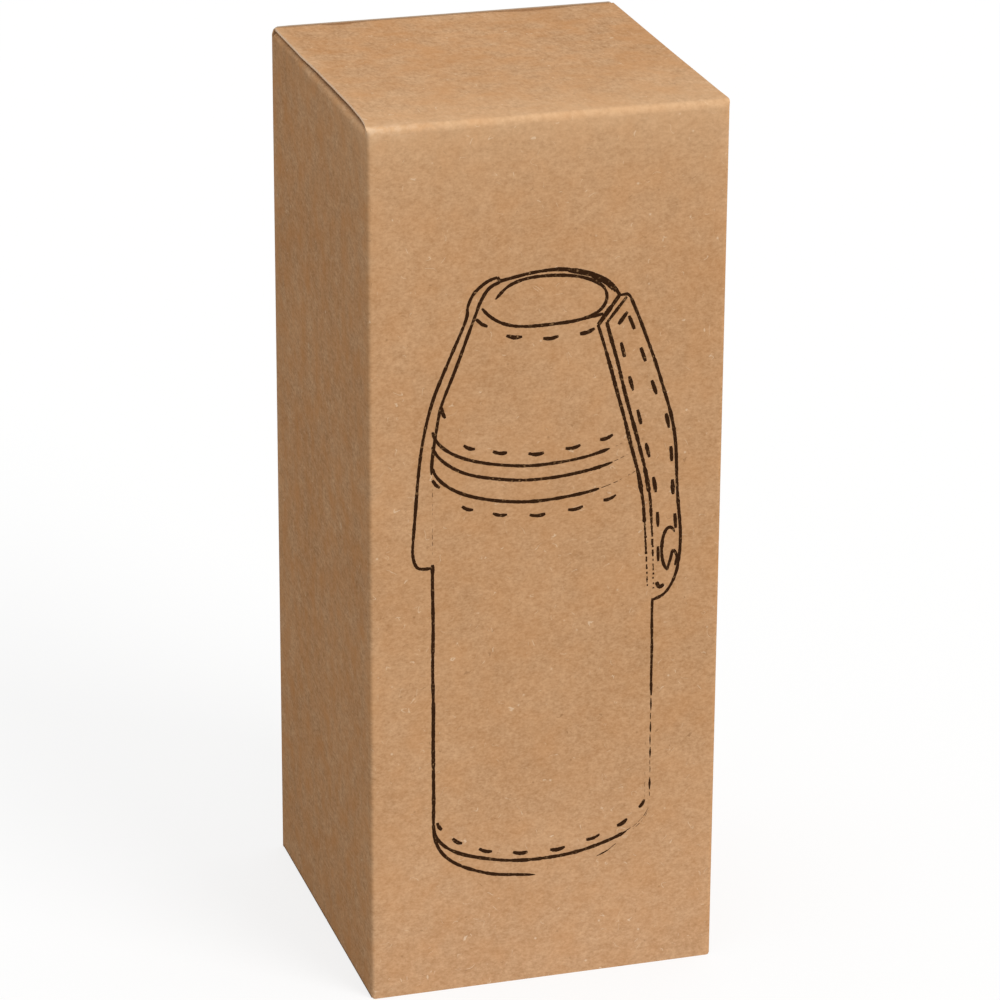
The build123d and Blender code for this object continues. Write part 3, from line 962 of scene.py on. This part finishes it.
def drawBottle():
    # rim and the dished top of the cup
    rim = smoothLine(drawing["rim"])
    stroke(rim, 1.1, (0.9, 0.9), 0.5)
    for first, last, aside, pen in ((22, 41, 0.5, 0.9), (30, 40, 0.9, 0.7)):
        stroke([onLine(rim, step * 0.8, aside) for step in range(first, last)], pen, (0.3, 0.4), 0.5)
    handLine("rimFront", 0.9, (0.2, 0.8), 0.4)
    handLine("recess", 1.0, (0.4, 0.5), 0.5)

    # cup's left side, the two bands and the sleeve
    handLine("cupSide", 1.0, (0.7, 0.4))
    rings = ((bandTop, 36, 52, 1.0), (collarTop, 38, 58, 1.0), (sleeveTop, 30, 60, 1.05))
    for level, solid, end, pen in rings:
        stroke(ringPoints(bodyRadius, level, -86, solid), pen, (0.7, 0.5))
        brokenStroke(ringPoints(bodyRadius, level, solid - 2, end, 1.5), pen * 0.75, 0.85, 2, 1.5)

    # body sides: a firm line on the left, failing ink on the right
    stroke(sideLine(-bodyRadius, 102.5, baseTop + 1, 12), 1.05, (0.8, 0.7), 0.8)
    brokenStroke(sideLine(-bodyRadius, sleeveTop - 8, 106, 30), 0.4, 0.6, 2, 2)
    stroke(sideLine(bodyRadius, 82, 47, 12), 0.8, (0.9, 0.5), 0.8)
    brokenStroke(sideLine(bodyRadius, 46, 10, 46), 0.7, 1.0, 6, 4)
    brokenStroke(sideLine(bodyRadius - 1.6, 30, 8, 24), 0.4, 0.5, 2, 2)

    # lower edge of the sleeve and the base ring
    stroke(ringPoints(bodyRadius, baseTop, -86, 52), 1.1, (0.7, 0.3))
    brokenStroke(ringPoints(bodyRadius, baseTop, 50, 82, 1.5), 0.8, 1.0, 4, 2)
    brokenStroke(ringPoints(bodyRadius, baseTop - 1, 58, 82, 1.5), 0.6, 1.0, 3, 3)
    handLine("foot1", 1.05, (0.8, 0.15))
    brokenStroke(smoothLine(drawing["foot2"], 3), 0.45, 1.0, 4, 1)

    # saddle stitching
    drop = bottle["stitchDrop"]
    ringStitches(bodyRadius - cupSlope * drop, bandTop + drop - 0.7, -50, 44, -4.4)
    ringStitches(bodyRadius, sleeveTop - drop, -50, 44, -3.4)
    rise, offset, depth = drawing["footRow"]
    ringStitches(bodyRadius, baseTop + rise, -86, 76, offset, depth)
    for ends in drawing["stitches"]:
        first, last = (Vector(end) for end in ends)
        stitch([first, (first + last) / 2 - Vector((0, drawing["sag"])), last])


def inkMaterial():
    # water-based flexo ink: near black, soaked in, dry and broken where the plate printed thin
    startMaterial("soakedPrintInk")
    thin = noiseMask(0.7, 0.60, 0.76, 2, 0.4)
    worn = weighted((noiseMask(6, 0.35, 0.75, 1, 0.9), 0.6), start=0.25)
    colour = mixColours(product(thin, worn), "#301b0a", "#a98259")
    return endMaterial(colour, thin, (0.3, 0.02), {"Roughness": 0.7, "Specular IOR Level": 0.05})


def makePrint():
    drawStraps()
    drawBottle()
    ink.dimensions = "3D"
    ink.bevel_depth = mm
    ink.bevel_resolution = 1
    ink.use_fill_caps = True
    holder = addObject("inkHolder", ink)
    bpy.context.view_layer.update()
    bm = bmesh.new()
    bm.from_mesh(bpy.data.meshes.new_from_object(holder))
    bpy.data.objects.remove(holder)
    across, up = drawing["shift"]
    for vert in bm.verts:
        vert.co.x = vert.co.x * drawing["narrow"] + across * mm + (cadBox[1].z - vert.co.z) * drawing["lean"]
        vert.co.z += up * mm
        sink = wallSink(vert.co.x, vert.co.z, halfWidth)
        vert.co.y = frontLow.y + sink - drawing["proud"] * mm + vert.co.y * drawing["flat"]
    givePiece("printedOutline", bm, inkMaterial(), "carton", sharp=80)


makePrint()
print("outline printed")


# Bottle materials

def leatherMaterial(name, dark, pale, cell, gloss):
    # vegetable-tanned smooth leather, rubbed with wax: fine pebble grain, cloudy tone, soft sheen
    startMaterial(name)
    at = graph["at"]
    cloud, mottle = noiseMask(16, 0.3, 0.72, 3, 0.2), noiseMask(3.2, 0.3, 0.7, 3, 0.6)
    colour = mixColours(weighted((mottle, 0.4), (cloud, 0.6)), dark, pale)
    bend = addNode("TexNoise", {"Scale": perMetre(4), "Detail": 1}, {"Vector": at}).outputs["Color"]
    bent = addNode("VectorMath", {"operation": "MULTIPLY_ADD", 1: (0.8 * mm,) * 3}, {0: bend, 2: at})
    pebbles = {"feature": "DISTANCE_TO_EDGE", "Scale": perMetre(cell)}
    cells = addNode("TexVoronoi", pebbles, {"Vector": bent})
    crease = addNode("MapRange", {"From Min": 0, "From Max": 0.16}, {"Value": cells})
    height = weighted((noiseMask(0.35, 0.4, 0.7, 1, 0.8), 0.2), start=crease)
    rough = addNode("MapRange", {"To Min": gloss, "To Max": gloss + 0.16}, {"Value": mottle})
    colour = mixColours(crease, dark, colour)
    return endMaterial(colour, height, (0.55, 0.07), {"Specular IOR Level": 0.45}, rough)


def threadMaterial():
    # waxed linen thread: twisted plies a third of a millimetre apart
    startMaterial("waxedLinenThread")
    twist = {"bands_direction": "DIAGONAL", "Scale": perMetre(0.36) / 6.28, "Distortion": 0.6}
    ply = addNode("TexWave", twist, {"Vector": graph["at"]}).outputs["Fac"]
    return endMaterial(mixColours(ply, "#a58458", "#d9c19a"), ply, (0.7, 0.08),
                       {"Roughness": 0.62, "Specular IOR Level": 0.35})


def metalMaterial(name, dull, bright, low, high, line, scratch):
    # stainless steel turned on a lathe: fine lines run round the piece and stretch its glints
    startMaterial(name)
    lines = noiseMask(line, 0.3, 0.7, stretch=(0.03, 0.03, 1))
    marks = noiseMask(scratch, 0.35, 0.75, 3, 0.5)
    colour = mixColours(weighted((marks, 0.3), (lines, 0.7)), dull, bright)
    rough = addNode("MapRange", {"To Min": low, "To Max": high}, {"Value": lines})
    return endMaterial(colour, lines, (0.25, 0.02), {"Metallic": 1.0}, rough)


def mouldedMaterial(name, dark, pale, grain, rough, specular):
    # injection-moulded part: even tone, the mould's fine spark-eroded grain
    startMaterial(name)
    cloud, skin = noiseMask(9, 0.3, 0.7, 2, 0.3), noiseMask(grain, 0.3, 0.7, 1, 0.7)
    colour = mixColours(weighted((cloud, 0.6), (skin, 0.4)), dark, pale)
    return endMaterial(colour, skin, (0.4, 0.03), {"Roughness": rough, "Specular IOR Level": specular})


sleeveLeather = leatherMaterial("waxedSleeveLeather", "#4a2a18", "#7d4f30", 1.3, 0.42)
strapLeather = leatherMaterial("waxedStrapLeather", "#43250f", "#744727", 1.1, 0.40)
thread = threadMaterial()
springWire = metalMaterial("drawnSpringWire", "#8f8f8d", "#c4c4c0", 0.18, 0.30, 0.4, 3)
finishes = {
    metalMaterial("brushedStainlessSteel", "#a9a8a4", "#cfcec9", 0.24, 0.40, 0.5, 5):
        ("outer_shell", "inner_liner", "collar_band", "cup_shell", "cup_band", "cup_rim"),
    metalMaterial("polishedNickelSnap", "#b9b4aa", "#dedad1", 0.08, 0.18, 1.5, 2):
        ("snap_cap_left", "snap_cap_right", "snap_socket_left", "snap_socket_right",
         "snap_stud_left", "snap_stud_right"),
    mouldedMaterial("darkPolypropylene", "#1f1f21", "#2b2b2e", 0.5, 0.46, 0.4):
        ("base_cap", "stopper_body", "stopper_top_cap"),
    mouldedMaterial("greyAbsButton", "#565658", "#69696b", 0.5, 0.38, 0.5): ("pour_button", "valve_stem"),
    mouldedMaterial("greySilicone", "#a5a199", "#bab6ad", 0.9, 0.6, 0.35):
        ("base_pad", "stopper_gasket", "valve_seal"),
    kraftFlat: ("bottom_left_flap", "bottom_right_flap"),
}
for material, nodes in finishes.items():
    for name in nodes:
        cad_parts[name].data.materials.clear()
        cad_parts[name].data.materials.append(material)
print("bottle materials ready")


# Leather sleeve, cup leather and straps, saddle stitched

leather = {
    "around": 120,  # faces round the sleeve
    "skin": 0.02,  # mm that the leather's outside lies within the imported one
    "round": 0.55,  # rounding of the cut edges, mm
    "dent": 0.28,  # how deep the stitches pull the leather in, mm
    "dentWidth": 1.3,
    "proud": 0.12,  # how far a row of stitches stands above its dent's bottom, mm
    "farSpacing": 5.0,  # mm between mesh rows away from the stitches
    "nearSpacing": 0.3,  # least distance of two mesh rows, mm
    "stitch": (5.2, 1.15, 0.55),  # length, width and height of a stitch, mm
    "stitchMesh": (8, 6),
    "seamStitch": (5.4, 0.95, 0.4),
    "seamTurn": 45.0,  # degrees round from +X to the sleeve's seam
    "seamGap": 0.9,  # depth of the groove along it, mm
    "seamReach": 1.6,
    "seamSkin": 0.9,  # mm off the shell, where the grooved outer face begins
    "seamLean": 0.55,  # rise of its slanting stitches for their run
    "seamPitch": 6.4,
    "seamEnds": 8.0,  # mm at each end of the seam without stitches
    "seamSunk": 0.35,
    "strapPitch": 10.4,
    "strapEnds": 7.0,
    "strapInset": 2.2,
    "strapSunk": 0.28,
    "strapCrown": 0.35,  # how far a strap's face bulges, mm
    "strapRound": 0.3,
    "rimAngle": 1.2,  # radians, the edges that are rounded are sharper
    "layerGap": 0.02,  # mm between a strap's two layers
    "layerLess": 0.05,  # mm that the inner layer is thinner than half the strap
    "strapGrid": (8, 56),
}


def addStitch(bm, place, along, outward, size=leather["stitch"]):
    # one stitch: a plump little bead of thread lying along the leather
    length, width, height = size
    across = outward.cross(along).normalized()
    axes = Matrix((along * length / 2, across * width / 2, outward * height)).transposed()
    turns, rows = leather["stitchMesh"]
    bmesh.ops.create_uvsphere(bm, u_segments=turns, v_segments=rows, radius=mm,
                              matrix=Matrix.Translation(place * mm) @ axes.to_4x4())


def ringOfStitches(bm, radius, level, count, slope, start):
    for index in range(count):
        turn = math.radians(start + 360 * index / count)
        outward = Vector((math.cos(turn), math.sin(turn), slope)).normalized()
        place = Vector((radius * math.cos(turn), radius * math.sin(turn), level))
        addStitch(bm, place, Vector((-math.sin(turn), math.cos(turn), 0)), outward)


def leatherWall(name, low, high, rows, bodyName, node, seam=False):
    # spins a closed leather wall from (radius, level) to (radius, level), dented at its rows of stitches
    thick = bodyRadius - shellRadius - leather["skin"]
    reach = leather["dentWidth"] * 2.5
    levels = shares(low[1], high[1], round((high[1] - low[1]) / leather["farSpacing"]))
    for row in rows:
        levels += [row + reach * step / 5 for step in range(-5, 6)]
    levels = sorted(level for level in levels if low[1] <= level <= high[1])
    kept = [levels[0]]
    for level in levels:
        if level - kept[-1] > leather["nearSpacing"]:
            kept.append(level)
    kept[-1] = high[1]

    def outerAt(level):
        base = low[0] + (high[0] - low[0]) * (level - low[1]) / (high[1] - low[1])
        dent = sum(math.exp(-((level - row) / leather["dentWidth"]) ** 2) for row in rows)
        return base - leather["dent"] * dent

    bm = bmesh.new()
    wire = [bm.verts.new((outerAt(level) * mm, 0, level * mm)) for level in kept]
    wire += [bm.verts.new(((radius - thick) * mm, 0, level * mm)) for radius, level in (high, low)]
    for pair in zip(wire, wire[1:] + wire[:1]):
        bm.edges.new(pair)
    roundOff(bm, [wire[0], wire[len(kept) - 1]], leather["round"], 4)
    bmesh.ops.spin(bm, geom=bm.verts[:] + bm.edges[:], cent=(0, 0, 0), axis=(0, 0, 1), angle=math.tau,
                   steps=leather["around"], use_merge=True)
    bmesh.ops.remove_doubles(bm, verts=bm.verts[:], dist=0.001 * mm)
    if seam:
        # the seam's gap is a groove in the outer face
        aim = math.radians(leather["seamTurn"])
        for vert in bm.verts:
            radius = math.hypot(vert.co.x, vert.co.y) / mm
            away = abs(math.atan2(vert.co.y, vert.co.x) - aim) * radius
            deep = leather["seamGap"] * max(0, 1 - away / leather["seamReach"])
            if radius > shellRadius + leather["seamSkin"]:
                vert.co.x -= deep * mm * math.cos(aim)
                vert.co.y -= deep * mm * math.sin(aim)
    givePiece(name, bm, sleeveLeather, bodyName, (node,), 60)


def makeLeather():
    drop, skin = bottle["stitchDrop"], leather["skin"]
    rows = (baseTop + bottle["footStitchRise"], sleeveTop - drop)
    cupRows = (bandTop + drop, wrapTop - drop)
    around = bodyRadius - skin
    leatherWall("leatherSleeve", (around, baseTop), (around, sleeveTop), rows, "bottle", "body_sleeve", True)
    leatherWall("cupLeather", (around, bandTop), (rimRadius - skin, wrapTop), cupRows, "cup", "cup_wrap")

    bm = bmesh.new()
    sunk = leather["dent"] - leather["proud"]
    for row in rows:
        ringOfStitches(bm, bodyRadius - sunk, row, bottle["stitchCount"], 0, 6)
    aim = math.radians(leather["seamTurn"])
    out = Vector((math.cos(aim), math.sin(aim), 0))
    side = Vector((-math.sin(aim), math.cos(aim), 0))
    ends = leather["seamEnds"]
    for index in range(int((sleeveTop - baseTop - 2 * ends) / leather["seamPitch"])):
        level = baseTop + ends + leather["seamPitch"] * (index + 0.5)
        lean = (side + Vector((0, 0, leather["seamLean"] * (1 if index % 2 else -1)))).normalized()
        place = out * (bodyRadius - leather["seamSunk"]) + Vector((0, 0, level))
        addStitch(bm, place, lean, out, leather["seamStitch"])
    givePiece("sleeveStitching", bm, thread, "bottle", sharp=80)

    bm = bmesh.new()
    for row, count in zip(cupRows, (bottle["stitchCount"], bottle["rimStitchCount"])):
        ringOfStitches(bm, bodyRadius - cupSlope * (row - bandTop) - sunk, row, count, cupSlope, 3)
    givePiece("cupStitching", bm, thread, "cup", sharp=80)


def strapLayer(bm, swing, inner, depth):
    # one of the strap's two layers, from the outer face inwards
    half, length = bottle["strapWidth"] / 2, bottle["strapLow"][1]
    layer = bmesh.new()
    columns, rows = leather["strapGrid"]
    bmesh.ops.create_grid(layer, x_segments=columns, y_segments=rows, size=0.5)
    for vert in layer.verts:
        across = vert.co.x * 2
        left = (vert.co.y + 0.5) * length
        if left < half:
            # rows bunch up towards the round end
            left = half * (1 - math.cos(math.pi / 2 * left / half))
        radius, level = strapPath(1 - left / length, inner)
        crown = leather["strapCrown"] * (0 if inner else 1 - across ** 4)
        aside = across * max(0.05, half - roundInset(half, left))
        vert.co = Vector((radius - leather["strapCrown"] + crown, aside, level)) * mm
    thicken(layer, depth * mm, axis=0)
    rims = [edge for edge in layer.edges
            if len(edge.link_faces) == 2 and edge.calc_face_angle(0) > leather["rimAngle"]]
    roundOff(layer, rims, leather["strapRound"], 2, "EDGES")
    bmesh.ops.rotate(layer, cent=(0, 0, 0), matrix=swing, verts=layer.verts[:])
    whole = bpy.data.meshes.new("layer")
    layer.to_mesh(whole)
    layer.free()
    bm.from_mesh(whole)
    bpy.data.meshes.remove(whole)


def makeStrap(name, turn):
    bodyName, swing = "strap_" + name, Matrix.Rotation(math.radians(turn), 3, "Z")
    thick, crown, length = bottle["strapThickness"], leather["strapCrown"], bottle["strapLow"][1]
    bm = bmesh.new()
    strapLayer(bm, swing, 0, thick / 2 - crown)
    strapLayer(bm, swing, thick / 2 + leather["layerGap"] - crown, thick / 2 - leather["layerLess"])
    givePiece("strap" + name.title(), bm, strapLeather, bodyName, ("tab_" + name,), 50)

    # the two rows of stitches are staggered
    bm = bmesh.new()
    for side, start in ((-1, 0.15), (1, 0.5)):
        for index in range(int((length - 2 * leather["strapEnds"]) / leather["strapPitch"])):
            share = (leather["strapEnds"] + leather["strapPitch"] * (index + start)) / length
            above, below = (strapPath(share + step) for step in (-0.02, 0.02))
            along = Vector((below[0] - above[0], 0, below[1] - above[1])).normalized()
            out = Vector((-along.z, 0, along.x))
            radius, level = strapPath(share)
            aside = side * (bottle["strapWidth"] / 2 - leather["strapInset"])
            place = Vector((radius - leather["strapSunk"], aside, level))
            addStitch(bm, swing @ place, swing @ along, swing @ out)
    givePiece("strapStitching" + name.title(), bm, thread, bodyName, sharp=80)


makeLeather()
makeStrap("right", -45)
makeStrap("left", 135)
print("leather work ready")


# Spring under the pour button

spring = {"wire": 0.8, "turns": 6, "sides": 10, "steps": 24, "travel": 2.5}  # wire and travel in mm


def makeSpring():
    # it stands on the stopper's floor and goes with the button
    low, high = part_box("button_spring")
    wire = spring["wire"] * mm
    bm = bmesh.new()
    bmesh.ops.create_circle(bm, segments=spring["sides"], radius=wire / 2)
    bmesh.ops.rotate(bm, verts=bm.verts[:], cent=(0, 0, 0), matrix=Matrix.Rotation(math.pi / 2, 3, "X"))
    bmesh.ops.translate(bm, verts=bm.verts[:], vec=(high.x - wire / 2, 0, low.z + wire / 2))
    steps = spring["turns"] * spring["steps"]
    bmesh.ops.spin(bm, geom=bm.verts[:] + bm.edges[:], cent=(0, 0, 0), axis=(0, 0, 1), steps=steps,
                   dvec=(0, 0, (high.z - low.z - wire) / steps), angle=math.tau * spring["turns"])
    fillEnds(bm)
    piece = givePiece("pourSpring", bm, springWire, "button", ("button_spring",), 60)
    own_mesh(piece)


makeSpring()
print("spring ready")


# Last update of the scene

bpy.context.view_layer.update()
print("all pieces ready")
